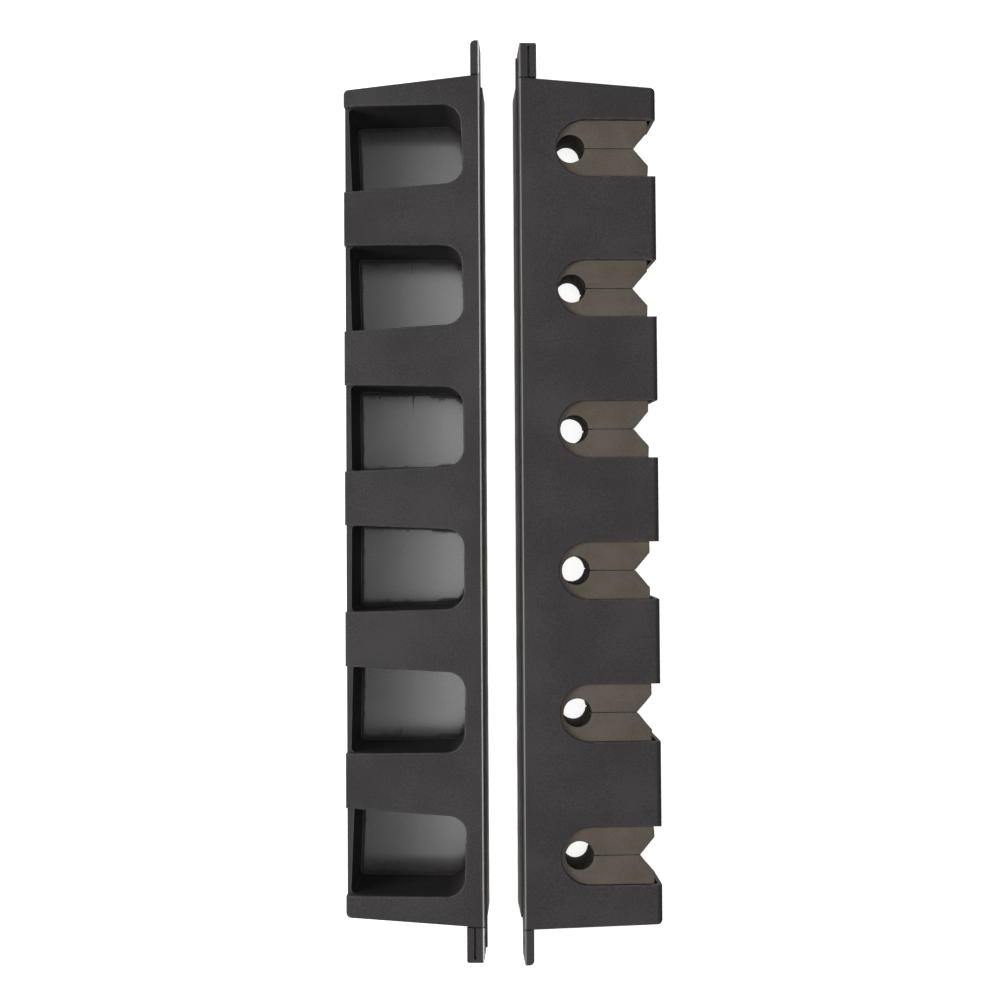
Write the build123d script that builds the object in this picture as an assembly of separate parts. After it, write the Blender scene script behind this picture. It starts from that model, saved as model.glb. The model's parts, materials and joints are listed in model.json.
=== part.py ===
from build123d import *
import math
import os

# Wall cue rack: a lower bar with six cups for the cue butts, and an upper bar whose
# foam grip holds the six shafts.  Both bars lie on their undersides with their wall
# faces towards each other.  Row frame, millimetres: +Z up, +Y along the bars, the cup
# bar on the -X side and the clip bar on the +X side.
#
# Each bar is modelled in its own frame first: X from the wall face towards the front,
# Y along the bar, Z up from the foot of the wall plate.

# ---- Driving dimensions shared by both bars ----
PLACES = 6
PITCH = 53.8
BAR_HEIGHT = 40.0
BAR_DEPTH = 52.0
LENGTH_AT_BACK = 323.5
END_CLEARANCE = 0.08
GAP_AT_TOP = 15.4
STAGGER = 0.55
LEAN = 2.0
FRONT_CORNER_RADIUS = 2.0
TOP_EDGE_RADIUS = 0.6
MOUTH_CHAMFER = 0.4
WALL = 2.0
TOP_THICKNESS = 2.3

# ---- Wall plate, its two ears and the strip behind it ----
PLATE_THICKNESS = 2.2
PLATE_TOP_CLEARANCE = 0.1
EDGE_BREAK = 0.25
EAR_LENGTH = 12.9
EAR_HEIGHT = 17.0
NARROW_EAR_THICKNESS = 3.4
NARROW_EAR_CORNER = 1.8
WIDE_EAR_THICKNESS = 6.5
WIDE_EAR_CORNER = 0.7
EAR_GROOVE_FROM_WALL = 3.0
EAR_GROOVE_WIDTH = 0.9
EAR_GROOVE_DEPTH = 4.0
EAR_GROOVE_END_WALL = 1.2
EAR_HOLE_RADIUS = 2.25
EAR_HOLE_CHAMFER = 0.7
STRIP_THICKNESS = 0.8
STRIP_BELOW_TOP = 13.0
STRIP_ABOVE_FOOT = 3.0
STRIP_END_MARGIN = 1.5
STRIP_TAIL_SHORT_OF_EAR = 2.0
STRIP_TAIL_HEIGHT = 3.0

# ---- Cup bar ----
CUP_FRONT_HALVES = (156.1, 157.9)
CUP_BACK = 6.8
CUP_HALF_WIDTH_BACK = 14.9
CUP_HALF_WIDTH_FRONT = 16.4
CUP_BACK_CORNER = 7.0
CUP_FRONT_CORNER = 1.5
CUP_FAN = 2.4
CUP_SIDE_WALL = 1.8
CUP_FLOOR = 1.8
FRONT_NOTCH_DEPTH = 5.0
PAD_THICKNESS = 1.0
PAD_SIDE_GAP = 0.4
PAD_FRONT_GAP = 0.4

# ---- Clip bar ----
CLIP_FRONT_HALVES = (160.4, 157.7)
CLIP_EDGE_RADIUS = 1.0
CLIP_FRONT_WALL = 1.4
SLOT_WIDTH = 21.8
SLOT_END = 13.9
FOAM_THICKNESS = 20.5
FOAM_FRONT = 48.6
FOAM_GAP = 0.4
GRIP_HOLE_RADIUS = 5.3
GRIP_HOLE_INSET = 1.2
GRIP_SLIT_WIDTH = 0.4
VEE_DEPTH = 5.6
VEE_HALF_WIDTH = 6.5
RETAINER_THICKNESS = 2.0
RETAINER_SLOT_MARGIN = 0.6
RETAINER_GAP = 0.3

# ---- Screws ----
PLATE_SCREW_ROWS = (-2, -1, 1, 2)
PLATE_SCREW_HEIGHT = 10.0
RETAINER_SCREW_ROWS = (-2, -1, 0, 1, 2)
RETAINER_SCREW_X = 30.0
SHANK_RADIUS = 1.4
PILOT_RADIUS = 1.45
BOSS_RADIUS = 3.5
BOSS_LENGTH = 8.0
FLAT_HEAD_RADIUS = 2.8
FLAT_HEAD_CLEARANCE = 0.1
PAN_HEAD_RADIUS = 3.0
PAN_HEAD_HEIGHT = 2.2
PAN_HEAD_ROUNDING = 1.0
SCREW_LENGTH = 10.0
PILOT_LENGTH = 11.0
RECESS_WIDTH = 0.7
RECESS_SPAN = 3.0
RECESS_DEPTH = 0.9

# ---- Worked out from the driving dimensions ----
OVER = 2.0
HALF_BACK = LENGTH_AT_BACK / 2
PLACE_Y = [(i - (PLACES - 1) / 2) * PITCH for i in range(PLACES)]
EAR_MIDDLE = HALF_BACK + EAR_LENGTH / 2
EAR_HOLE_Z = BAR_HEIGHT - EAR_HEIGHT / 2
EAR_FOOT = BAR_HEIGHT - EAR_HEIGHT
GRIP_HOLE_X = SLOT_END + GRIP_HOLE_INSET + GRIP_HOLE_RADIUS
HOUSING_BACK = PLATE_THICKNESS
INNER_BACK = HOUSING_BACK + WALL
TOP_FOOT = BAR_HEIGHT - TOP_THICKNESS
PLATE_TOP = TOP_FOOT - PLATE_TOP_CLEARANCE
FOAM_FOOT = TOP_FOOT - FOAM_THICKNESS

# The bars lean forward: a housing stops FOOT above the wall plate's foot.  BACK_TOP_X is
# how far the wall face's top edge stands in front of its foot line.
ANGLE = math.radians(LEAN)
FOOT = (BAR_DEPTH - PLATE_THICKNESS) * math.tan(ANGLE)
LIFT = PLATE_THICKNESS * math.sin(ANGLE)
BACK_TOP_X = BAR_HEIGHT * math.sin(ANGLE)
FOOT_LINE = GAP_AT_TOP / 2 - BACK_TOP_X
PAD_FOOT = FOOT + CUP_FLOOR


def cuboid(x0, x1, y0, y1, z0, z1):
    return Pos(x0, y0, z0) * Box(x1 - x0, y1 - y0, z1 - z0, align=(Align.MIN, Align.MIN, Align.MIN))


def upright(x, y, z0, z1, radius):
    return Pos(x, y, z0) * Cylinder(radius, z1 - z0, align=(Align.CENTER, Align.CENTER, Align.MIN))


def forward(x0, x1, y, z, radius):
    """A cylinder that lies along the bar's X."""
    lying = Rot(0, 90, 0) * Cylinder(radius, x1 - x0, align=(Align.CENTER, Align.CENTER, Align.MIN))
    return Pos(x0, y, z) * lying


def prism(sketch, z0, z1):
    return extrude(Pos(0, 0, z0) * sketch, z1 - z0, dir=(0, 0, 1))


def flare(sketch):
    """Cutter that breaks the edge of an opening in a bar's top."""
    rim = Pos(0, 0, BAR_HEIGHT - MOUTH_CHAMFER) * sketch
    return extrude(rim, 2 * MOUTH_CHAMFER, dir=(0, 0, 1), taper=-45)


def body_outline(front_halves, x0, x1, inset=0.0):
    """Plan of a housing, which narrows from its back to its front.

    front_halves are its half lengths at the front, towards -Y and towards +Y.
    """
    back = HALF_BACK - END_CLEARANCE
    corners = []
    for x, side in ((x0, 0), (x1, 0), (x1, 1), (x0, 1)):
        half = back + (front_halves[side] - back) * x / BAR_DEPTH - inset
        corners.append((x, half if side else -half))
    return Polygon(*corners, align=None)


def hollow_housing(front_halves, front_wall, edge_radius):
    """Tray-shaped moulding, open underneath, whose top reaches back over the wall plate."""
    outline = body_outline(front_halves, 0, BAR_DEPTH)
    front_corners = outline.vertices().sort_by(Axis.X)[-2:]
    outline = fillet(front_corners, FRONT_CORNER_RADIUS)
    block = prism(outline, FOOT, BAR_HEIGHT)
    block = fillet(block.faces().sort_by(Axis.Z)[-1].edges().sort_by(Axis.X)[1:], edge_radius)
    block = fillet(block.faces().sort_by(Axis.Z)[-1].edges().sort_by(Axis.X)[0], TOP_EDGE_RADIUS)
    block -= cuboid(-OVER, HOUSING_BACK, -HALF_BACK - OVER, HALF_BACK + OVER, FOOT - OVER, TOP_FOOT)
    inside = body_outline(front_halves, INNER_BACK, BAR_DEPTH - front_wall, WALL)
    return block - prism(inside, FOOT - OVER, TOP_FOOT)


def plate_bosses(housing):
    """Screw bosses on the inside of a housing's back wall, with their pilot holes."""
    for row in PLATE_SCREW_ROWS:
        y = row * PITCH
        housing += forward(HOUSING_BACK, INNER_BACK + BOSS_LENGTH, y, PLATE_SCREW_HEIGHT, BOSS_RADIUS)
        housing -= forward(HOUSING_BACK - OVER, PILOT_LENGTH, y, PLATE_SCREW_HEIGHT, PILOT_RADIUS)
    return housing


# ---- Wall plate and its fastenings, the same on both bars ----
def ear_holes(shape):
    for side, thickness in ((-1, NARROW_EAR_THICKNESS), (1, WIDE_EAR_THICKNESS)):
        y = side * EAR_MIDDLE
        shape -= forward(-OVER, thickness + OVER, y, EAR_HOLE_Z, EAR_HOLE_RADIUS)
        mouth = Cone(EAR_HOLE_RADIUS, EAR_HOLE_RADIUS + EAR_HOLE_CHAMFER, EAR_HOLE_CHAMFER)
        shape -= Pos(thickness - EAR_HOLE_CHAMFER / 2, y, EAR_HOLE_Z) * Rot(0, 90, 0) * mouth
    return shape


def narrow_ear():
    plan = Polygon((0, -HALF_BACK - EAR_LENGTH), (NARROW_EAR_THICKNESS, -HALF_BACK - EAR_LENGTH),
                   (NARROW_EAR_THICKNESS, -HALF_BACK), (0, -HALF_BACK), align=None)
    outer_corner = plan.vertices().sort_by(Axis.Y)[:2].sort_by(Axis.X)[-1]
    plan = fillet(outer_corner, NARROW_EAR_CORNER)
    return prism(plan, EAR_FOOT, BAR_HEIGHT)


def wide_ear():
    plan = Polygon((0, HALF_BACK), (WIDE_EAR_THICKNESS, HALF_BACK),
                   (WIDE_EAR_THICKNESS, HALF_BACK + EAR_LENGTH), (0, HALF_BACK + EAR_LENGTH), align=None)
    outer_corner = plan.vertices().sort_by(Axis.Y)[-2:].sort_by(Axis.X)[-1]
    plan = fillet(outer_corner, WIDE_EAR_CORNER)
    ear = prism(plan, EAR_FOOT, BAR_HEIGHT)
    groove_end = EAR_GROOVE_FROM_WALL + EAR_GROOVE_WIDTH
    return ear - cuboid(EAR_GROOVE_FROM_WALL, groove_end, HALF_BACK - OVER,
                        HALF_BACK + EAR_LENGTH - EAR_GROOVE_END_WALL,
                        BAR_HEIGHT - EAR_GROOVE_DEPTH, BAR_HEIGHT + OVER)


def wall_plate():
    plate = cuboid(0, PLATE_THICKNESS, -HALF_BACK, HALF_BACK, 0, PLATE_TOP)
    plate = chamfer(plate.edges().filter_by(Axis.Y), EDGE_BREAK)
    plate = ear_holes(plate + narrow_ear() + wide_ear())
    for row in PLATE_SCREW_ROWS:
        y = row * PITCH
        plate -= forward(-OVER, PLATE_THICKNESS + OVER, y, PLATE_SCREW_HEIGHT, PILOT_RADIUS)
        seat = Cone(FLAT_HEAD_RADIUS + FLAT_HEAD_CLEARANCE, PILOT_RADIUS, FLAT_HEAD_RADIUS - SHANK_RADIUS)
        middle = (FLAT_HEAD_RADIUS - SHANK_RADIUS) / 2
        plate -= Pos(middle, y, PLATE_SCREW_HEIGHT) * Rot(0, 90, 0) * seat
    return plate


def backing_strip():
    """Thin soft strip behind the wall plate, with a tail behind the wide ear."""
    top = BAR_HEIGHT - STRIP_BELOW_TOP
    strip = cuboid(-STRIP_THICKNESS, 0, -HALF_BACK + STRIP_END_MARGIN, HALF_BACK, STRIP_ABOVE_FOOT, top)
    tail_end = HALF_BACK + EAR_LENGTH - STRIP_TAIL_SHORT_OF_EAR
    strip += cuboid(-STRIP_THICKNESS, 0, HALF_BACK - OVER, tail_end, top - STRIP_TAIL_HEIGHT, top)
    return strip


def cross_recess():
    """Cross-shaped driver recess, cut downwards from Z = 0."""
    bar = Box(RECESS_SPAN, RECESS_WIDTH, RECESS_DEPTH, align=(Align.CENTER, Align.CENTER, Align.MAX))
    return bar + Rot(0, 0, 90) * bar


def flat_screw():
    """Countersunk screw whose head is flush with Z = 0 and whose shank points down."""
    cone_height = FLAT_HEAD_RADIUS - SHANK_RADIUS
    head = Pos(0, 0, -cone_height / 2) * Cone(SHANK_RADIUS, FLAT_HEAD_RADIUS, cone_height)
    shank = Cylinder(SHANK_RADIUS, SCREW_LENGTH, align=(Align.CENTER, Align.CENTER, Align.MAX))
    return head + shank - cross_recess()


def pan_screw():
    """Pan head standing on Z = 0, with its shank pointing down."""
    head = Cylinder(PAN_HEAD_RADIUS, PAN_HEAD_HEIGHT, align=(Align.CENTER, Align.CENTER, Align.MIN))
    head = fillet(head.edges().sort_by(Axis.Z)[-1], PAN_HEAD_ROUNDING)
    shank = Cylinder(SHANK_RADIUS, SCREW_LENGTH, align=(Align.CENTER, Align.CENTER, Align.MAX))
    return head + shank - Pos(0, 0, PAN_HEAD_HEIGHT) * cross_recess()


def plate_screws():
    screw = Rot(0, -90, 0) * flat_screw()
    return Compound([Pos(0, row * PITCH, PLATE_SCREW_HEIGHT) * screw for row in PLATE_SCREW_ROWS])


# ---- Cup bar ----
def cup_half_width(x):
    share = (x - CUP_BACK) / (BAR_DEPTH - WALL - CUP_BACK)
    return CUP_HALF_WIDTH_BACK + share * (CUP_HALF_WIDTH_FRONT - CUP_HALF_WIDTH_BACK)


def cup_plan(x0, x1, grow=0.0):
    """Plan of one cup between two distances from the wall, grown sideways if asked."""
    half0 = cup_half_width(x0) + grow
    half1 = cup_half_width(x1) + grow
    return Polygon((x0, -half0), (x1, -half1), (x1, half1), (x0, half0), align=None)


def rounded_cup_plan(x0, x1, grow=0.0):
    plan = cup_plan(x0, x1, grow)
    plan = fillet(plan.vertices().sort_by(Axis.X)[:2], CUP_BACK_CORNER + grow)
    return fillet(plan.vertices().sort_by(Axis.X)[-2:], CUP_FRONT_CORNER)


def cup_station(y):
    """Place of one cup: the cups fan out a little towards the back."""
    middle = BAR_DEPTH / 2
    turn = -CUP_FAN * y / PLACE_Y[-1]
    return Pos(middle, y, 0) * Rot(0, 0, turn) * Pos(-middle, 0, 0)


def cup_housing():
    housing = hollow_housing(CUP_FRONT_HALVES, WALL, TOP_EDGE_RADIUS)
    hollow = prism(rounded_cup_plan(CUP_BACK, BAR_DEPTH - WALL), PAD_FOOT, BAR_HEIGHT + OVER)
    box = prism(rounded_cup_plan(CUP_BACK - CUP_SIDE_WALL, BAR_DEPTH - WALL / 2, CUP_SIDE_WALL),
                FOOT, BAR_HEIGHT - TOP_THICKNESS / 2)
    notch = prism(cup_plan(BAR_DEPTH - 2 * WALL, BAR_DEPTH + OVER), BAR_HEIGHT - FRONT_NOTCH_DEPTH,
                  BAR_HEIGHT + OVER)
    for y in PLACE_Y:
        housing += cup_station(y) * box
    mouth = cup_plan(CUP_BACK, BAR_DEPTH + OVER)
    edge_break = flare(fillet(mouth.vertices().sort_by(Axis.X)[:2], CUP_BACK_CORNER))
    for y in PLACE_Y:
        housing -= cup_station(y) * hollow
        housing -= cup_station(y) * notch
        housing -= cup_station(y) * edge_break
    return plate_bosses(housing)


def cup_floor_pad(y):
    """Thin pad on a cup's floor, a little short of the cup's walls."""
    plan = cup_plan(CUP_BACK + PAD_SIDE_GAP, BAR_DEPTH - WALL - PAD_FRONT_GAP, -PAD_SIDE_GAP)
    plan = fillet(plan.vertices().sort_by(Axis.X)[:2], CUP_BACK_CORNER - PAD_SIDE_GAP)
    return cup_station(y) * prism(plan, PAD_FOOT, PAD_FOOT + PAD_THICKNESS)


# ---- Clip bar ----
def slot_plan(margin=0.0):
    """U-shaped slot, open at the bar's front."""
    half = SLOT_WIDTH / 2 + margin
    centre = SLOT_END + SLOT_WIDTH / 2
    throat = Polygon((centre, -half), (BAR_DEPTH + OVER, -half), (BAR_DEPTH + OVER, half),
                     (centre, half), align=None)
    return throat + Pos(centre, 0) * Circle(half)


def clip_housing():
    housing = hollow_housing(CLIP_FRONT_HALVES, CLIP_FRONT_WALL, CLIP_EDGE_RADIUS)
    housing -= cuboid(BAR_DEPTH - WALL, BAR_DEPTH + OVER, WALL - CLIP_FRONT_HALVES[0],
                      CLIP_FRONT_HALVES[1] - WALL, FOOT - OVER, FOAM_FOOT - RETAINER_THICKNESS)
    for row in RETAINER_SCREW_ROWS:
        boss_top = TOP_FOOT + TOP_THICKNESS / 2
        housing += upright(RETAINER_SCREW_X, row * PITCH, FOAM_FOOT, boss_top, BOSS_RADIUS)
        housing -= upright(RETAINER_SCREW_X, row * PITCH, FOAM_FOOT - OVER,
                           FOAM_FOOT + SCREW_LENGTH, PILOT_RADIUS)
    housing = plate_bosses(housing)
    slot = prism(slot_plan(), FOOT - OVER, BAR_HEIGHT + OVER) + flare(slot_plan())
    for y in PLACE_Y:
        housing -= Pos(0, y, 0) * slot
    return housing


def grip_cut():
    """Shaft hole, closed slit and V-shaped mouth of one grip, as a plan."""
    apex = FOAM_FRONT - VEE_DEPTH
    slit = Pos(GRIP_HOLE_X, 0) * Rectangle(apex + OVER - GRIP_HOLE_X, GRIP_SLIT_WIDTH,
                                           align=(Align.MIN, Align.CENTER))
    run_out = VEE_HALF_WIDTH / VEE_DEPTH * OVER
    mouth = Polygon((apex, 0), (FOAM_FRONT + OVER, -VEE_HALF_WIDTH - run_out),
                    (FOAM_FRONT + OVER, VEE_HALF_WIDTH + run_out), align=None)
    return Pos(GRIP_HOLE_X, 0) * Circle(GRIP_HOLE_RADIUS) + slit + mouth


def foam_grip():
    """One foam strip that fills the housing under its top, with a grip at each slot."""
    outline = body_outline(CLIP_FRONT_HALVES, INNER_BACK + FOAM_GAP, FOAM_FRONT, WALL + FOAM_GAP)
    foam = prism(outline, FOAM_FOOT, TOP_FOOT)
    cut = prism(grip_cut(), FOAM_FOOT - OVER, TOP_FOOT + OVER)
    for y in PLACE_Y:
        foam -= Pos(0, y, 0) * cut
    for row in RETAINER_SCREW_ROWS:
        foam -= upright(RETAINER_SCREW_X, row * PITCH, FOAM_FOOT - OVER, TOP_FOOT + OVER,
                        BOSS_RADIUS + FOAM_GAP)
    return foam


def foam_retainer():
    """Plate under the foam, with the same slots as the housing's top."""
    outline = body_outline(CLIP_FRONT_HALVES, INNER_BACK + RETAINER_GAP,
                           BAR_DEPTH - CLIP_FRONT_WALL - RETAINER_GAP, WALL + RETAINER_GAP)
    plate = prism(outline, FOAM_FOOT - RETAINER_THICKNESS, FOAM_FOOT)
    slot = prism(slot_plan(RETAINER_SLOT_MARGIN), 0, BAR_HEIGHT)
    for y in PLACE_Y:
        plate -= Pos(0, y, 0) * slot
    for row in RETAINER_SCREW_ROWS:
        plate -= upright(RETAINER_SCREW_X, row * PITCH, 0, BAR_HEIGHT, PILOT_RADIUS)
    return plate


def retainer_screws():
    screw = Rot(180, 0, 0) * pan_screw()
    height = FOAM_FOOT - RETAINER_THICKNESS
    return Compound([Pos(RETAINER_SCREW_X, row * PITCH, height) * screw for row in RETAINER_SCREW_ROWS])


# ---- Both bars in the row frame ----
def save(node, shape, turn):
    """Lean a bar's part forward, stand it on Z = 0, turn its bar and write it."""
    placed = Rot(0, 0, turn) * Pos(FOOT_LINE, -STAGGER, LIFT) * Rot(0, LEAN, 0) * shape
    export_step(placed, f"parts/{node}.step")


for bar, turn, housing in (("cup", 180, cup_housing), ("clip", 0, clip_housing)):
    save(f"{bar}_housing", housing(), turn)
    save(f"{bar}_wall_plate", wall_plate(), turn)
    save(f"{bar}_backing_strip", backing_strip(), turn)
    save(f"{bar}_plate_screws", plate_screws(), turn)

for number, y in enumerate(PLACE_Y, start=1):
    save(f"cup_floor_pad_{number}", cup_floor_pad(y), 180)

save("foam_grip", foam_grip(), 0)
save("foam_retainer", foam_retainer(), 0)
save("retainer_screws", retainer_screws(), 0)
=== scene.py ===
import json
import math

import bpy
from mathutils import Matrix, Vector, geometry, noise


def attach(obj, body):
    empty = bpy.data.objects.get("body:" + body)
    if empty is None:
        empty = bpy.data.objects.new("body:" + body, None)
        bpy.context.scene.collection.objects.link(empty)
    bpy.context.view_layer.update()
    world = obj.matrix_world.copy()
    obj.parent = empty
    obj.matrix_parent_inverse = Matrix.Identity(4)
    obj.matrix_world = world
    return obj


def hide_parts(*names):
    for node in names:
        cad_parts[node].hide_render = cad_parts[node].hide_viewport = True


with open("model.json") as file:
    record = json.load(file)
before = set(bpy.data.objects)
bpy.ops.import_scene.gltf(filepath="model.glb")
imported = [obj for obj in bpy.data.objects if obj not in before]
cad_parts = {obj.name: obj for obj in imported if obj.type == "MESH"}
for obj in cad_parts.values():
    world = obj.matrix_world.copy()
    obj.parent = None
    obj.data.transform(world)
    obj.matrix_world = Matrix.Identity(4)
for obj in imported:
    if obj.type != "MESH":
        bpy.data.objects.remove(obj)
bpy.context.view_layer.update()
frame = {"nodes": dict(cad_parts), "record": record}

MM = 0.001
SEED = 7
noise.seed_set(SEED)

# ---- Sizes of the soft pieces, in millimetres, in each bar's own frame ----
# Bar frame: X from the wall face to the front, Y along the bar, Z up the wall face.
PLACES = 6
PITCH = 53.8
PLACE_Y = [(i - (PLACES - 1) / 2) * PITCH for i in range(PLACES)]
BAR_DEPTH = 52.0
PLATE_THICKNESS = 2.2
HALF_BACK = 161.67
HALF_FRONT_MINUS = 160.4
HALF_FRONT_PLUS = 157.7
STRIP_MIDDLE = 15.0

FOAM_TOP = 37.7
FOAM_FOOT = 17.2
FOAM_BACK = 4.6
FOAM_FRONT = 48.6
FOAM_END_GAP = 2.4
GRIP_X = 20.4
GRIP_RADIUS = 5.3
GRIP_TAPER = 0.45
SLIT_HALF = 0.07
SLIT_NEAR = 0.4
SLIT_PAST = 0.8
VEE_DEPTH = 5.6
VEE_HALF = 6.5
SLOT_HALF = 10.9
SLOT_ARC_X = 24.8
BOSS_X = 30.0
BOSS_HOLE = 3.9
# One value per place, from -Y to +Y: how far the jaws reach forward, and how far the hole moves.
LONG_JAWS = (0.9, 0.3, 0.0, 0.0, 0.0, 0.7)
HOLE_SHIFT = (0.6, 0.2, 0.0, -0.2, -0.7, -0.9)
MOUTH_RELIEF = 2.4
FOAM_RIM = 0.38
SLIT_RIM = 0.1
FOAM_CROWN = 0.42
SLIT_VALLEY = 0.26
HOLE_LIP = 0.22
FOAM_UNEVEN = 0.10
CUT_WAVE = 0.11
CUT_FINE = 0.035
TOP_SETBACK = 0.03
JAW_GAPE = 0.10
JAW_GAPE_UNEVEN = 0.05
# How far each of the foam's features reaches before it fades, and the grain sizes of its noise.
TOP_FROM, TOP_SPAN = 0.7, 0.3
SLOT_MARGIN = 0.6
VALLEY_REACH = 0.75
LIP_REACH = 0.8
SHIFT_REACH = 3.5
CLOSE_REACH = 2.5
RELIEF_REACH = 2.5
JAW_REACH = 12
GAPE_REACH = 3.0
UNEVEN_GRAIN = 9
WAVE_GRAIN = (6, 6, 5)
FINE_GRAIN = (1.7, 1.7, 1.4)

CUP_BACK = 6.8
CUP_FRONT = 50.0
CUP_HALF_BACK = 14.9
CUP_HALF_FRONT = 16.4
CUP_FAN = 2.4
PAD_GAP = 0.4
PAD_FRONT_GAP = 0.4
PAD_CORNER = 6.6
PAD_THICKNESS = 1.0
PAD_FRONT_CORNER = 0.5
PAD_RIM = 0.3
PAD_LIFT = 0.012
PAD_GRAIN = 14
PAD_SETBACK = 0.02
PAD_CLEARANCE = 0.01
CUP_FLOOR = 1.8

STRIP_THICKNESS = 0.8
STRIP_FOOT = 3.0
STRIP_TOP = 27.0
STRIP_END = 160.25
STRIP_FULL_END = 161.75
TAIL_END = 172.65
TAIL_HEIGHT = 3.0
STRIP_CORNER = 1.2
TAIL_CORNER = 0.6
STRIP_RIM = 0.2
STRIP_LIFT = 0.06
STRIP_GRAIN = 8

# ---- Angle in degrees above which the CAD nodes' edges are shaded sharp ----
SHARP_ANGLE = 28

# ---- Spacing of the outlines' points and of the flat faces' grids, in millimetres ----
EDGE_STEP = 1.6
FRONT_STEP = 0.9
VEE_STEP = 0.6
SLIT_STEP = 0.7
HOLE_STEP = 0.55
BOSS_STEP = 1.0
PAD_STEP = 0.9
STRIP_STEP = 1.2
FOAM_GRID = 1.5
PAD_GRID = 1.4
STRIP_GRID = 2.2
ROW_HEIGHT = 0.87
GRID_CLEARANCE = 0.45
SHARPEST_CORNER = 0.5

# ---- Where painted highlights and painted shade go on the housings' edges, in metres along the frame's axes at rest ----
TOP_BAND = (0.0350, 0.0360)
FRONT_BAND = (0.0576, 0.0584)
REAR_BAND = (0.0083, 0.0080)
REAR_TOP = (0.0386, 0.0389)
BAR_SPLIT = 0.001
# how strong the painted highlight on the rear top edge is on the clip bar
CLIP_REAR_HIGHLIGHT_SHARE = 0.28
# how strongly the painted highlight along the rounded top edges is mixed in
TOP_EDGE_HIGHLIGHT_SHARE = 0.65
# painted shade colour for the rounded front top edges
FRONT_EDGE_PAINTED_SHADE = (0.014, 0.013, 0.013)
# painted highlight colour for the rear top edge
REAR_EDGE_PAINTED_HIGHLIGHT = (0.80, 0.78, 0.75)

# ---- Colours of the foam and of the screws, linear ----
FOAM_DARK = (0.112, 0.0945, 0.0745)
FOAM_LIGHT = (0.154, 0.132, 0.110)
FOAM_WORN = (0.14, 0.12, 0.098)
# painted shade colour for the foam's side faces, such as the walls of its holes and slits
FOAM_SIDE_SHADE = (0.030, 0.026, 0.018)
ZINC_DARK = (0.42, 0.42, 0.43)
ZINC_LIGHT = (0.62, 0.62, 0.63)

# ---- Floor, world and camera ----
FLOOR_HALF = 2.5
FLOOR_DROP = 0.0002
FLOOR_GLOW = 0.8
WORLD_GLOW = (0.1, 0.62)
BACKDROP = 0.85
SENSOR_WIDTH = 36.0
LENS = 56.75
CAMERA_SHIFT = -0.04
NEAR_CLIP = 0.01
CAMERA_PLACE = (-0.00532, -0.00355, 0.637)
CAMERA_DEGREES = (1.753, -0.437, -0.369)
# name, place, target, width and height in metres, and watts
LIGHTS = (("overhead", (0.04, 0.0, 1.3), (0.04, 0.0, 0.0), 0.40, 0.93, 7.3),
          ("left_key", (-0.80, 0.0, 0.8), (0.0, 0.0, 0.0), 0.6, 0.6, 7.5))


# ---- Bar frames, from the record's wall faces ----
def bar_matrix(bar):
    """From a bar's own frame, in millimetres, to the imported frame, in metres."""
    mount = next(m for m in frame["record"]["mounts"] if m["name"] == bar + "_wall_face")
    x = -Vector(mount["axis"]).normalized()
    y = Vector((0.0, math.copysign(1.0, x.x), 0.0))
    z = x.cross(y)
    origin = Vector(mount["pos_m"]) + x * STRIP_THICKNESS * MM - z * STRIP_MIDDLE * MM
    turn = Matrix((x, y, z)).transposed().to_4x4()
    return Matrix.Translation(origin) @ turn @ Matrix.Scale(MM, 4)


CUP_BAR = bar_matrix("cup_bar")
CLIP_BAR = bar_matrix("clip_bar")


def lean_of(matrix):
    """The angle, in radians, by which a bar leans."""
    return math.asin(min(1.0, abs(matrix.col[0].xyz.normalized().z)))


# ---- Plan outlines ----
def spaced(a, b, step):
    """Points from a towards b, without b."""
    n = max(1, round(math.dist(a, b) / step))
    return [(a[0] + (b[0] - a[0]) * k / n, a[1] + (b[1] - a[1]) * k / n) for k in range(n)]


def arc(cx, cy, radius, start, end, step):
    """Points on an arc, angles in degrees, both ends included."""
    n = max(3, math.ceil(abs(math.radians(end - start)) * radius / step))
    return [(cx + radius * math.cos(math.radians(start + (end - start) * k / n)),
             cy + radius * math.sin(math.radians(start + (end - start) * k / n))) for k in range(n + 1)]


def closed(points, step):
    """A polygon's whole outline in steps."""
    out = []
    for a, b in zip(points, points[1:] + points[:1]):
        out += spaced(a, b, step)
    return out


def inward(loop, k):
    """Unit vector into the material at a loop's point k, lengthened at sharp corners."""
    a, b, c = Vector(loop[k - 1]), Vector(loop[k]), Vector(loop[(k + 1) % len(loop)])
    n1, n2 = (b - a).normalized(), (c - b).normalized()
    n1, n2 = Vector((-n1.y, n1.x)), Vector((-n2.y, n2.x))
    n = n1 + n2
    if n.length < 1e-6:
        return n1
    n.normalize()
    return n / max(SHARPEST_CORNER, n.dot(n1))


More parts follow.
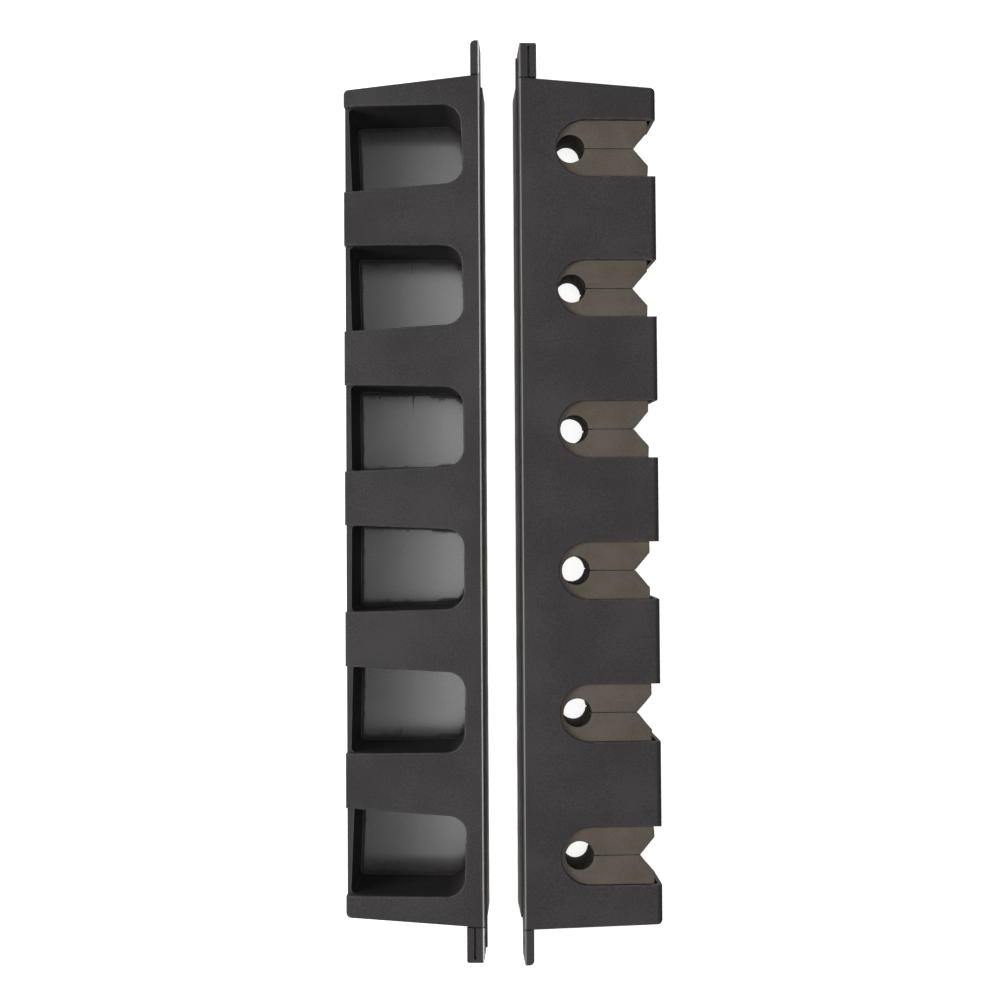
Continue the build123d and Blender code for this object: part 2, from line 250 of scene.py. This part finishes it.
def soft_slab(name, outer, holes, z0, z1, rim, grid, shape, matrix, rings, levels):
    """A slab with rounded rims. outer runs anticlockwise, holes clockwise; rim(x, y) is the rim's
    radius at a point of the outline; shape(x, y, z, share) moves each vertex (share 0 at the foot
    and 1 at the top). A side wall has rings steps around each rim and levels steps between."""
    loops = [outer] + holes
    inner = []
    for loop in loops:
        inner.append([tuple(Vector(p) + inward(loop, k) * rim(*p)) for k, p in enumerate(loop)])
    points, edges, faces = [], [], []
    for loop in inner:
        first = len(points)
        points += [Vector(p) for p in loop]
        ids = list(range(first, len(points)))
        edges += list(zip(ids, ids[1:] + ids[:1]))
        faces.append(ids)
    boundary = len(points)
    xs, ys = [p[0] for p in outer], [p[1] for p in outer]
    row, y = 0, min(ys) + grid * 0.5
    while y < max(ys):
        x = min(xs) + grid * (0.5 if row % 2 else 1.0)
        while x < max(xs):
            points.append(Vector((x, y)))
            x += grid
        y += grid * ROW_HEIGHT
        row += 1
    gap = grid * GRID_CLEARANCE
    keep = points[:boundary] + [p for p in points[boundary:] if clear_of(p, inner, gap)]
    flat, _, tris, origins, _, _ = geometry.delaunay_2d_cdt(keep, edges, faces, 4, 1e-5)
    verts, polys = [], []
    back_to = {}
    for k, sources in enumerate(origins):
        for s in sources:
            if s < boundary:
                back_to[s] = k

    def cap(z, flip):
        first = len(verts)
        verts.extend((v.x, v.y, z) for v in flat)
        for t in tris:
            t = [first + i for i in t]
            polys.append(t[::-1] if flip else t)
        return first

    top, foot = cap(z1, False), cap(z0, True)
    start = 0
    for loop in loops:
        n = len(loop)
        stack = [[top + back_to[start + k] for k in range(n)]]
        for step in range(1, 2 * rings + levels):
            first = len(verts)
            for k, p in enumerate(loop):
                r = rim(*p)
                if step <= rings:
                    turn = math.pi / 2 * step / rings
                    inset, z = r * (1 - math.sin(turn)), z1 - r * (1 - math.cos(turn))
                elif step < rings + levels:
                    share = (step - rings) / levels
                    inset, z = 0.0, (z1 - r) + (z0 - z1 + 2 * r) * share
                else:
                    turn = math.pi / 2 * (step - rings - levels) / rings
                    inset, z = r * (1 - math.cos(turn)), z0 + r * (1 - math.sin(turn))
                q = Vector(p) + inward(loop, k) * inset
                verts.append((q.x, q.y, z))
            stack.append(list(range(first, first + n)))
        stack.append([foot + back_to[start + k] for k in range(n)])
        for upper, lower in zip(stack, stack[1:]):
            for k in range(n):
                m = (k + 1) % n
                polys.append([upper[k], lower[k], lower[m], upper[m]])
        start += n
    moved = []
    for x, y, z in verts:
        moved.append(matrix @ Vector(shape(x, y, z, (z - z0) / (z1 - z0))))
    return add_mesh(name, moved, polys)


def clear_of(p, loops, gap):
    """Inside the first loop, outside the others, and not too near any of them."""
    inside = False
    for loop in loops:
        for a, b in zip(loop, loop[1:] + loop[:1]):
            if (a[1] > p.y) != (b[1] > p.y) and p.x < (b[0] - a[0]) * (p.y - a[1]) / (b[1] - a[1]) + a[0]:
                inside = not inside
            if abs(a[0] - p.x) < gap and abs(a[1] - p.y) < gap:
                return False
    return inside


def add_mesh(name, verts, polys):
    """A smooth-shaded mesh object in the scene."""
    mesh = bpy.data.meshes.new(name)
    mesh.from_pydata([tuple(v) for v in verts], [], polys)
    mesh.validate()
    mesh.polygons.foreach_set("use_smooth", [True] * len(mesh.polygons))
    mesh.update()
    obj = bpy.data.objects.new(name, mesh)
    bpy.context.scene.collection.objects.link(obj)
    return obj


# ---- Foam grip: one block of foam with holes, slits and V mouths ----
def grip_outline():
    """The strip's outline, anticlockwise, with all six grips cut into its front edge."""
    def end(x, side):
        front = HALF_FRONT_PLUS if side > 0 else HALF_FRONT_MINUS
        return x, side * (HALF_BACK + (front - HALF_BACK) * x / BAR_DEPTH - FOAM_END_GAP)

    apex = FOAM_FRONT - VEE_DEPTH
    out = spaced(end(FOAM_BACK, 1), end(FOAM_BACK, -1), EDGE_STEP)
    out += spaced(end(FOAM_BACK, -1), end(FOAM_FRONT, -1), EDGE_STEP)
    here = end(FOAM_FRONT, -1)
    open_angle = math.degrees(math.asin(SLIT_HALF / GRIP_RADIUS))
    for y in PLACE_Y:
        out += spaced(here, (FOAM_FRONT, y - VEE_HALF), FRONT_STEP)
        out += spaced((FOAM_FRONT, y - VEE_HALF), (apex, y - SLIT_HALF), VEE_STEP)
        hole = arc(GRIP_X, y, GRIP_RADIUS, -open_angle, -360 + open_angle, HOLE_STEP)
        out += spaced((apex, y - SLIT_HALF), hole[0], SLIT_STEP)
        out += hole
        out += spaced(hole[-1], (apex, y + SLIT_HALF), SLIT_STEP)[1:]
        out += spaced((apex, y + SLIT_HALF), (FOAM_FRONT, y + VEE_HALF), VEE_STEP)
        here = (FOAM_FRONT, y + VEE_HALF)
    out += spaced(here, end(FOAM_FRONT, 1), FRONT_STEP)
    out += spaced(end(FOAM_FRONT, 1), end(FOAM_BACK, 1), EDGE_STEP)
    return out


def nearest_place(y):
    """The middle of the place that a point along the bar belongs to."""
    return min(PLACE_Y, key=lambda p: abs(p - y))


def on_slit(x, y):
    """Whether a point of the outline is on one of the slits' two faces."""
    dy = abs(y - nearest_place(y))
    return dy < SLIT_NEAR and GRIP_X < x < FOAM_FRONT - VEE_DEPTH + SLIT_PAST


def foam_rim(x, y):
    """Radius of the foam's rim at a point of its outline."""
    return SLIT_RIM if on_slit(x, y) else FOAM_RIM


def fade(distance, width):
    """1 at no distance, falling smoothly to 0 past the width."""
    return math.exp(-(distance / width) ** 2)


def foam_shape(x, y, z, share):
    """Crown in the slots, a soft valley along each slit, and uneven knife-cut sides."""
    middle = nearest_place(y)
    grip = PLACE_Y.index(middle)
    dy = y - middle
    top = max(0.0, (share - TOP_FROM) / TOP_SPAN)
    to_hole = math.hypot(x - GRIP_X, dy)
    from_slot_middle = math.hypot(x - SLOT_ARC_X, dy) if x < SLOT_ARC_X else abs(dy)
    in_slot = max(0.0, 1 - (from_slot_middle / (SLOT_HALF - SLOT_MARGIN)) ** 4)
    crown = FOAM_CROWN * in_slot
    valley = 0.0
    if GRIP_X + GRIP_RADIUS - 1 < x < FOAM_FRONT - VEE_DEPTH + 1:
        valley = SLIT_VALLEY * fade(dy, VALLEY_REACH)
    lip = HOLE_LIP * fade(to_hole - GRIP_RADIUS, LIP_REACH)
    uneven = FOAM_UNEVEN * noise.noise(Vector((x / UNEVEN_GRAIN, y / UNEVEN_GRAIN, 1.3)))
    z += top * (crown * (1 - lip) - valley - lip + uneven * in_slot - TOP_SETBACK)
    wave = noise.noise_vector(Vector([c / g for c, g in zip((x, y, z), WAVE_GRAIN)]))
    fine = noise.noise_vector(Vector([c / g for c, g in zip((x, y, z), FINE_GRAIN)]))
    start = x
    side = 0.0 if on_slit(x, y) else 1.0
    x += side * (CUT_WAVE * wave.x + CUT_FINE * fine.x)
    y += side * (CUT_WAVE * wave.y + CUT_FINE * fine.y)
    # the block was cut by hand, so the jaws at some places reach further forward
    past_hole = start - GRIP_X - GRIP_RADIUS
    mouth = max(0.0, min(1.0, past_hole / JAW_REACH)) * max(0.0, 1 - (dy / (SLOT_HALF + 2)) ** 6)
    x += LONG_JAWS[grip] * mouth
    x += HOLE_SHIFT[grip] * fade(max(0.0, to_hole - GRIP_RADIUS), SHIFT_REACH)
    if side:
        # the round holes close a little towards the foot, and the mouths open
        close = GRIP_TAPER * (1 - share) * fade(to_hole - GRIP_RADIUS, CLOSE_REACH)
        x -= close * (start - GRIP_X) / max(to_hole, 0.1)
        y -= close * dy / max(to_hole, 0.1)
        past = (start - FOAM_FRONT + VEE_DEPTH) / VEE_DEPTH
        if past > 0:
            spread = min(1.0, 3 * past) * fade(abs(dy) - VEE_HALF * past, RELIEF_REACH)
            y += math.copysign(MOUTH_RELIEF * (1 - share) * spread, dy)
    else:
        # the jaws lean a little apart at the top of the slit, next to the hole
        apart = JAW_GAPE * top * max(0.0, 1 - past_hole / GAPE_REACH)
        apart += JAW_GAPE_UNEVEN * top * abs(noise.noise(Vector((start / 4, middle / 3, 0.7))))
        y += math.copysign(apart, dy)
    return x, y, z


def foam_grips():
    """The whole strip, with clear holes for the housing's five screw bosses."""
    bosses = []
    for row in (-2, -1, 0, 1, 2):
        bosses.append(arc(BOSS_X, row * PITCH, BOSS_HOLE, 0, -360, BOSS_STEP)[:-1])
    return soft_slab("foam_grip_strip", grip_outline(), bosses, FOAM_FOOT, FOAM_TOP, foam_rim, FOAM_GRID,
                     foam_shape, CLIP_BAR, rings=3, levels=7)


# ---- Cup floor pads ----
def rounded(points, radii, step):
    """Polygon with some corners rounded, anticlockwise."""
    out = []
    count = len(points)
    for k, (p, r) in enumerate(zip(points, radii)):
        a, b, c = Vector(points[k - 1]), Vector(p), Vector(points[(k + 1) % count])
        if r <= 0:
            out.append(tuple(b))
            continue
        u, v = (a - b).normalized(), (c - b).normalized()
        half = math.acos(max(-1, min(1, u.dot(v)))) / 2
        centre = b + (u + v).normalized() * (r / math.sin(half))
        reach = r / math.tan(half)
        start, end = b + u * reach - centre, b + v * reach - centre
        a0 = math.degrees(math.atan2(start.y, start.x))
        a1 = math.degrees(math.atan2(end.y, end.x))
        while a1 < a0:
            a1 += 360
        out += arc(centre.x, centre.y, r, a0, a1, step)
    return closed(out, step)


def floor_pad(number, y):
    """A pad on the floor of the cup at y; each cup is turned a little, as a fan."""
    share = PAD_GAP / (CUP_FRONT - CUP_BACK)
    grow = CUP_HALF_FRONT - CUP_HALF_BACK
    half_back = CUP_HALF_BACK + grow * share - PAD_GAP
    half_front = CUP_HALF_FRONT - grow * PAD_FRONT_GAP / (CUP_FRONT - CUP_BACK) - PAD_GAP
    x0, x1 = CUP_BACK + PAD_GAP, CUP_FRONT - PAD_FRONT_GAP
    plan = rounded([(x0, -half_back), (x1, -half_front), (x1, half_front), (x0, half_back)],
                   [PAD_CORNER, PAD_FRONT_CORNER, PAD_FRONT_CORNER, PAD_CORNER], PAD_STEP)
    lean = lean_of(CUP_BAR)
    foot = (BAR_DEPTH - PLATE_THICKNESS) * math.tan(lean) + CUP_FLOOR
    turn = Matrix.Rotation(math.radians(-CUP_FAN * y / PLACE_Y[-1]), 4, "Z")
    middle = Vector((BAR_DEPTH / 2, 0, 0))
    station = Matrix.Translation(Vector((0, y, 0)) + middle) @ turn @ Matrix.Translation(-middle)

    def shape(px, py, pz, top):
        lift = PAD_LIFT * noise.noise(Vector((px / PAD_GRAIN, py / PAD_GRAIN, number * 3.1)))
        return px, py, pz + top * (lift - PAD_SETBACK)

    return soft_slab(f"floor_pad_{number}", plan, [], foot + PAD_CLEARANCE, foot + PAD_THICKNESS,
                     lambda px, py: PAD_RIM, PAD_GRID, shape, CUP_BAR @ station, rings=3, levels=2)


# ---- Backing strips ----
def backing_strip(bar, matrix):
    """Strip on the wall face, drawn in its own plane: U along the bar, V up the wall."""
    tail_foot = STRIP_TOP - TAIL_HEIGHT
    points = [(-STRIP_END, STRIP_FOOT), (STRIP_FULL_END, STRIP_FOOT), (STRIP_FULL_END, tail_foot),
              (TAIL_END, tail_foot), (TAIL_END, STRIP_TOP), (-STRIP_END, STRIP_TOP)]
    radii = [STRIP_CORNER, STRIP_CORNER, 0, TAIL_CORNER, TAIL_CORNER, STRIP_CORNER]
    plan = rounded(points, radii, STRIP_STEP)
    upright = matrix @ Matrix(((0, 0, -1, 0), (1, 0, 0, 0), (0, 1, 0, 0), (0, 0, 0, 1)))

    def shape(u, v, w, top):
        lift = STRIP_LIFT * noise.noise(Vector((u / STRIP_GRAIN, v / STRIP_GRAIN, 5.0)))
        return u, v, w + top * (lift - STRIP_LIFT)

    return soft_slab(f"{bar}_wall_strip", plan, [], 0.0, STRIP_THICKNESS, lambda u, v: STRIP_RIM,
                     STRIP_GRID, shape, upright, rings=2, levels=2)


# ---- Materials ----
def new_material(name):
    """An empty material, with its node tree, its shader and its object coordinates."""
    material = bpy.data.materials.new(name)
    material.use_nodes = True
    nodes, links = material.node_tree.nodes, material.node_tree.links
    shader = nodes["Principled BSDF"]
    coords = nodes.new("ShaderNodeTexCoord")
    return material, nodes, links, shader, coords.outputs["Object"]


def noise_node(nodes, links, where, scale, detail=2.0, rough=0.5):
    node = nodes.new("ShaderNodeTexNoise")
    node.inputs["Scale"].default_value = scale
    node.inputs["Detail"].default_value = detail
    node.inputs["Roughness"].default_value = rough
    links.new(where, node.inputs["Vector"])
    return node.outputs["Fac"]


def math_node(nodes, links, kind, a, b):
    node = nodes.new("ShaderNodeMath")
    node.operation = kind
    for socket, value in zip(node.inputs, (a, b)):
        if isinstance(value, (int, float)):
            socket.default_value = value
        else:
            links.new(value, socket)
    return node.outputs["Value"]


def ramp(nodes, links, value, low, high, to_low=0.0, to_high=1.0):
    """The value, taken from the range low..high to the range to_low..to_high, and clamped."""
    node = nodes.new("ShaderNodeMapRange")
    node.clamp = True
    node.inputs["From Min"].default_value = low
    node.inputs["From Max"].default_value = high
    node.inputs["To Min"].default_value = to_low
    node.inputs["To Max"].default_value = to_high
    links.new(value, node.inputs["Value"])
    return node.outputs["Result"]


def mix_colour(nodes, links, factor, a, b):
    node = nodes.new("ShaderNodeMix")
    node.data_type = "RGBA"
    sockets = [s for s in node.inputs if s.type == "RGBA"]
    for socket, value in zip(sockets, (a, b)):
        if isinstance(value, tuple):
            socket.default_value = (*value, 1.0)
        else:
            links.new(value, socket)
    links.new(factor, node.inputs["Factor"])
    return next(s for s in node.outputs if s.type == "RGBA")


def edge_mask(nodes, links, radius, low, high):
    """1 along edges, 0 on flat faces, from how far the bevelled normal leaves the true one."""
    bevel = nodes.new("ShaderNodeBevel")
    bevel.samples = 4
    bevel.inputs["Radius"].default_value = radius
    geometry_node = nodes.new("ShaderNodeNewGeometry")
    dot = nodes.new("ShaderNodeVectorMath")
    dot.operation = "DOT_PRODUCT"
    links.new(bevel.outputs["Normal"], dot.inputs[0])
    links.new(geometry_node.outputs["Normal"], dot.inputs[1])
    return ramp(nodes, links, dot.outputs["Value"], high, low)


def bump(nodes, links, height, distance, strength):
    node = nodes.new("ShaderNodeBump")
    node.inputs["Strength"].default_value = strength
    node.inputs["Distance"].default_value = distance
    links.new(height, node.inputs["Height"])
    return node.outputs["Normal"]


def painted_edge_highlights_and_shade(nodes, links, where, scuff, colour, worn):
    """Painted highlights and painted shade on the housings' edges: pale lines along the rounded top edges,
    broken up by the scuff noise, a paler painted highlight along the rear top edge, and painted shade along
    the front top edges.
    """
    spot = nodes.new("ShaderNodeSeparateXYZ")
    links.new(where, spot.inputs[0])
    faces = nodes.new("ShaderNodeNewGeometry")
    facing = nodes.new("ShaderNodeSeparateXYZ")
    links.new(faces.outputs["Normal"], facing.inputs[0])
    across, height, upward = spot.outputs["X"], spot.outputs["Z"], facing.outputs["Z"]
    # painted highlight: pale colour on the rounded top edges, broken up by the scuff noise like wear
    high = ramp(nodes, links, height, *TOP_BAND)
    rounded_off = math_node(nodes, links, "MULTIPLY", ramp(nodes, links, upward, 0.97, 0.85),
                            ramp(nodes, links, upward, 0.15, 0.4))
    band = math_node(nodes, links, "MULTIPLY", high, rounded_off)
    pale = math_node(nodes, links, "MULTIPLY", band, scuff)
    colour = mix_colour(nodes, links, math_node(nodes, links, "MULTIPLY", pale, TOP_EDGE_HIGHLIGHT_SHARE), colour, worn)
    # painted shade: the rounded front top edges darkened
    front = math_node(nodes, links, "MULTIPLY", high, ramp(nodes, links, across, *FRONT_BAND))
    front = math_node(nodes, links, "MULTIPLY", front, ramp(nodes, links, upward, 0.1, 0.3))
    colour = mix_colour(nodes, links, front, colour, FRONT_EDGE_PAINTED_SHADE)
    # painted highlight: a pale line along the rear top edge, fainter on the clip bar
    from_middle = math_node(nodes, links, "ABSOLUTE", across, 0.0)
    rear = math_node(nodes, links, "MULTIPLY", ramp(nodes, links, from_middle, *REAR_BAND),
                     ramp(nodes, links, height, *REAR_TOP))
    by_bar = ramp(nodes, links, across, -BAR_SPLIT, BAR_SPLIT, 1.0, CLIP_REAR_HIGHLIGHT_SHARE)
    return mix_colour(nodes, links, math_node(nodes, links, "MULTIPLY", rear, by_bar), colour, REAR_EDGE_PAINTED_HIGHLIGHT)


def moulded_abs(name, dark, light, worn, rough_low, rough_high):
    """Finely textured moulding, mottled, with pale edges that are partly wear and partly painted highlight.
    """
    material, nodes, links, shader, where = new_material(name)
    broad = noise_node(nodes, links, where, scale=35, detail=3)
    speckle = noise_node(nodes, links, where, scale=1500, detail=2)
    grain = noise_node(nodes, links, where, scale=3400, detail=3, rough=0.6)
    mottle = math_node(nodes, links, "ADD", math_node(nodes, links, "MULTIPLY", broad, 0.4),
                       math_node(nodes, links, "MULTIPLY", speckle, 0.6))
    colour = mix_colour(nodes, links, ramp(nodes, links, mottle, low=0.43, high=0.57), dark, light)
    # pale edges: partly real wear and partly painted highlight along the edges
    edges = edge_mask(nodes, links, radius=0.0005, low=0.86, high=0.995)
    scratches = noise_node(nodes, links, where, scale=260, detail=4, rough=0.7)
    scuff = ramp(nodes, links, scratches, low=0.38, high=0.66, to_low=0.25)
    wear_and_highlight = math_node(nodes, links, "MULTIPLY", edges, scuff)
    colour = mix_colour(nodes, links, math_node(nodes, links, "MULTIPLY", wear_and_highlight, 0.7), colour, worn)
    # painted highlights and painted shade on the housings' edges
    colour = painted_edge_highlights_and_shade(nodes, links, where, scuff, colour, worn)
    links.new(colour, shader.inputs["Base Color"])
    rough = ramp(nodes, links, speckle, low=0.3, high=0.7, to_low=rough_low, to_high=rough_high)
    rough = math_node(nodes, links, "SUBTRACT", rough, math_node(nodes, links, "MULTIPLY", wear_and_highlight, 0.12))
    links.new(rough, shader.inputs["Roughness"])
    shader.inputs["IOR"].default_value = 1.5
    links.new(bump(nodes, links, grain, distance=0.00005, strength=0.55), shader.inputs["Normal"])
    return material


def eva_foam(name):
    """Closed-cell foam, with its side faces painted darker than its top and foot, as painted shade."""
    material, nodes, links, shader, where = new_material(name)
    broad = noise_node(nodes, links, where, scale=90, detail=3)
    cells = nodes.new("ShaderNodeTexVoronoi")
    cells.inputs["Scale"].default_value = 2300
    links.new(where, cells.inputs["Vector"])
    speckle = noise_node(nodes, links, where, scale=1300, detail=3, rough=0.65)
    tone = math_node(nodes, links, "ADD", math_node(nodes, links, "MULTIPLY", broad, 0.5),
                     math_node(nodes, links, "MULTIPLY", speckle, 0.5))
    colour = mix_colour(nodes, links, ramp(nodes, links, tone, low=0.36, high=0.64), FOAM_DARK, FOAM_LIGHT)
    edges = edge_mask(nodes, links, radius=0.0006, low=0.8, high=0.99)
    faces = nodes.new("ShaderNodeNewGeometry")
    upward = nodes.new("ShaderNodeSeparateXYZ")
    links.new(faces.outputs["Normal"], upward.inputs[0])
    # painted shade: faces that don't face up or down get the dark side colour
    level = math_node(nodes, links, "ABSOLUTE", upward.outputs["Z"], 0.0)
    flat_faces = ramp(nodes, links, level, low=0.35, high=0.85)
    colour = mix_colour(nodes, links, flat_faces, FOAM_SIDE_SHADE, colour)
    worn = math_node(nodes, links, "MULTIPLY", edges, 0.3)
    links.new(mix_colour(nodes, links, worn, colour, FOAM_WORN), shader.inputs["Base Color"])
    rough = ramp(nodes, links, speckle, low=0.3, high=0.7, to_low=0.8, to_high=0.95)
    links.new(rough, shader.inputs["Roughness"])
    pits = math_node(nodes, links, "MULTIPLY", cells.outputs["Distance"], 0.6)
    pores = math_node(nodes, links, "ADD", pits, math_node(nodes, links, "MULTIPLY", speckle, 0.8))
    links.new(bump(nodes, links, pores, distance=0.00012, strength=0.7), shader.inputs["Normal"])
    shader.inputs["Specular IOR Level"].default_value = 0.1
    return material


def grained_rubber(name, dark, light, rough_low, rough_high, depth):
    """Rubber with a fine pitted grain; depth is the grain's height in metres."""
    material, nodes, links, shader, where = new_material(name)
    broad = noise_node(nodes, links, where, scale=60, detail=3)
    pits = nodes.new("ShaderNodeTexVoronoi")
    pits.inputs["Scale"].default_value = 1150
    links.new(where, pits.inputs["Vector"])
    grain = noise_node(nodes, links, where, scale=1900, detail=3, rough=0.7)
    colour = mix_colour(nodes, links, ramp(nodes, links, grain, low=0.3, high=0.7), dark, light)
    links.new(colour, shader.inputs["Base Color"])
    pitted = math_node(nodes, links, "MULTIPLY", pits.outputs["Distance"], 0.7)
    height = math_node(nodes, links, "ADD", pitted, math_node(nodes, links, "MULTIPLY", grain, 0.6))
    links.new(bump(nodes, links, height, distance=depth, strength=0.6), shader.inputs["Normal"])
    rough = ramp(nodes, links, broad, low=0.3, high=0.7, to_low=rough_low, to_high=rough_high)
    links.new(rough, shader.inputs["Roughness"])
    shader.inputs["IOR"].default_value = 1.6
    return material


def zinc_steel(name):
    """Dull plated steel, for the screws."""
    material, nodes, links, shader, where = new_material(name)
    tone = noise_node(nodes, links, where, scale=700, detail=4, rough=0.6)
    colour = mix_colour(nodes, links, ramp(nodes, links, tone, low=0.3, high=0.7), ZINC_DARK, ZINC_LIGHT)
    links.new(colour, shader.inputs["Base Color"])
    rough = ramp(nodes, links, tone, low=0.3, high=0.7, to_low=0.25, to_high=0.42)
    links.new(rough, shader.inputs["Roughness"])
    shader.inputs["Metallic"].default_value = 1.0
    links.new(bump(nodes, links, tone, distance=0.00004, strength=0.5), shader.inputs["Normal"])
    return material


# the worn colour serves both as edge wear and as painted highlight on the edges
CHARCOAL = moulded_abs("charcoal_abs", dark=(0.0285, 0.0248, 0.0258), light=(0.0535, 0.047, 0.0485),
                       worn=(0.12, 0.116, 0.114), rough_low=0.68, rough_high=0.84)
FOAM = eva_foam("olive_eva_foam")
PAD_RUBBER = grained_rubber("grained_pad_rubber", dark=(0.023, 0.0205, 0.0202), light=(0.044, 0.0405, 0.0395),
                            rough_low=0.19, rough_high=0.22, depth=0.000009)
STRIP_RUBBER = grained_rubber("backing_foam_rubber", dark=(0.050, 0.047, 0.040), light=(0.078, 0.073, 0.062),
                              rough_low=0.7, rough_high=0.88, depth=0.0001)
STEEL = zinc_steel("zinc_plated_steel")


def dress(obj, material):
    """Give an object one material."""
    obj.data.materials.clear()
    obj.data.materials.append(material)


# ---- The CAD nodes ----
for node, obj in frame["nodes"].items():
    dress(obj, STEEL if "screws" in node else CHARCOAL)
    obj.data.polygons.foreach_set("use_smooth", [True] * len(obj.data.polygons))
    obj.data.set_sharp_from_angle(angle=math.radians(SHARP_ANGLE))


def place(piece, body, material, slot, *nodes):
    """Show a soft piece in place of its CAD nodes, riding on its body."""
    dress(piece, material)
    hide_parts(*nodes)
    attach(piece, body)


place(foam_grips(), "clip_bar", FOAM, "grip_foam", "foam_grip")
for number, y in enumerate(PLACE_Y, start=1):
    place(floor_pad(number, y), "cup_bar", PAD_RUBBER, "floor_rubber", f"cup_floor_pad_{number}")
place(backing_strip("cup", CUP_BAR), "cup_bar", STRIP_RUBBER, "backing_rubber", "cup_backing_strip")
place(backing_strip("clip", CLIP_BAR), "clip_bar", STRIP_RUBBER, "backing_rubber", "clip_backing_strip")


# ---- Floor, light and camera ----
def pale_floor():
    """The white table that the bars lie on."""
    half = FLOOR_HALF
    obj = add_mesh("floor", [(-half, -half, 0), (half, -half, 0), (half, half, 0), (-half, half, 0)],
                   [[0, 1, 2, 3]])
    obj.location.z = -FLOOR_DROP
    material, nodes, links, shader, where = new_material("pale_table")
    tone = noise_node(nodes, links, where, scale=8, detail=2)
    links.new(mix_colour(nodes, links, tone, (0.88, 0.88, 0.88), (0.92, 0.92, 0.92)),
              shader.inputs["Base Color"])
    shader.inputs["Roughness"].default_value = 0.6
    shader.inputs["Emission Color"].default_value = (1.0, 1.0, 1.0, 1.0)
    shader.inputs["Emission Strength"].default_value = FLOOR_GLOW
    dress(obj, material)


def soft_light(name, where, target, width, height, power):
    """A rectangular light that the camera doesn't see, aimed at the target."""
    light = bpy.data.lights.new(name, "AREA")
    light.shape = "RECTANGLE"
    light.size, light.size_y = width, height
    light.energy = power
    obj = bpy.data.objects.new(name, light)
    bpy.context.scene.collection.objects.link(obj)
    obj.location = where
    obj.rotation_euler = (Vector(target) - Vector(where)).to_track_quat("-Z", "Y").to_euler()
    obj.visible_camera = False


def studio_world():
    """Dim surroundings, brighter on one side, with a plain grey behind the floor for the camera."""
    world = bpy.data.worlds.new("studio")
    world.use_nodes = True
    nodes, links = world.node_tree.nodes, world.node_tree.links
    back = nodes["Background"]
    coords = nodes.new("ShaderNodeTexCoord")
    split = nodes.new("ShaderNodeSeparateXYZ")
    links.new(coords.outputs["Generated"], split.inputs[0])
    along = math_node(nodes, links, "MULTIPLY", split.outputs["Y"], 0.8)
    across = math_node(nodes, links, "MULTIPLY", split.outputs["X"], 0.6)
    slant = math_node(nodes, links, "SUBTRACT", along, across)
    glow = ramp(nodes, links, slant, -0.8, 0.8, *WORLD_GLOW)
    path = nodes.new("ShaderNodeLightPath")
    seen = math_node(nodes, links, "MULTIPLY", path.outputs["Is Camera Ray"], BACKDROP)
    links.new(math_node(nodes, links, "MAXIMUM", glow, seen), back.inputs["Strength"])
    bpy.context.scene.world = world


pale_floor()
studio_world()
for light_settings in LIGHTS:
    soft_light(*light_settings)

camera_data = bpy.data.cameras.new("camera")
camera_data.sensor_width = SENSOR_WIDTH
camera_data.lens = LENS
camera_data.shift_y = CAMERA_SHIFT
camera_data.clip_start = NEAR_CLIP
camera = bpy.data.objects.new("camera", camera_data)
bpy.context.scene.collection.objects.link(camera)
camera.location = CAMERA_PLACE
camera.rotation_euler = [math.radians(a) for a in CAMERA_DEGREES]
bpy.context.scene.camera = camera
bpy.context.scene.view_settings.view_transform = "Standard"
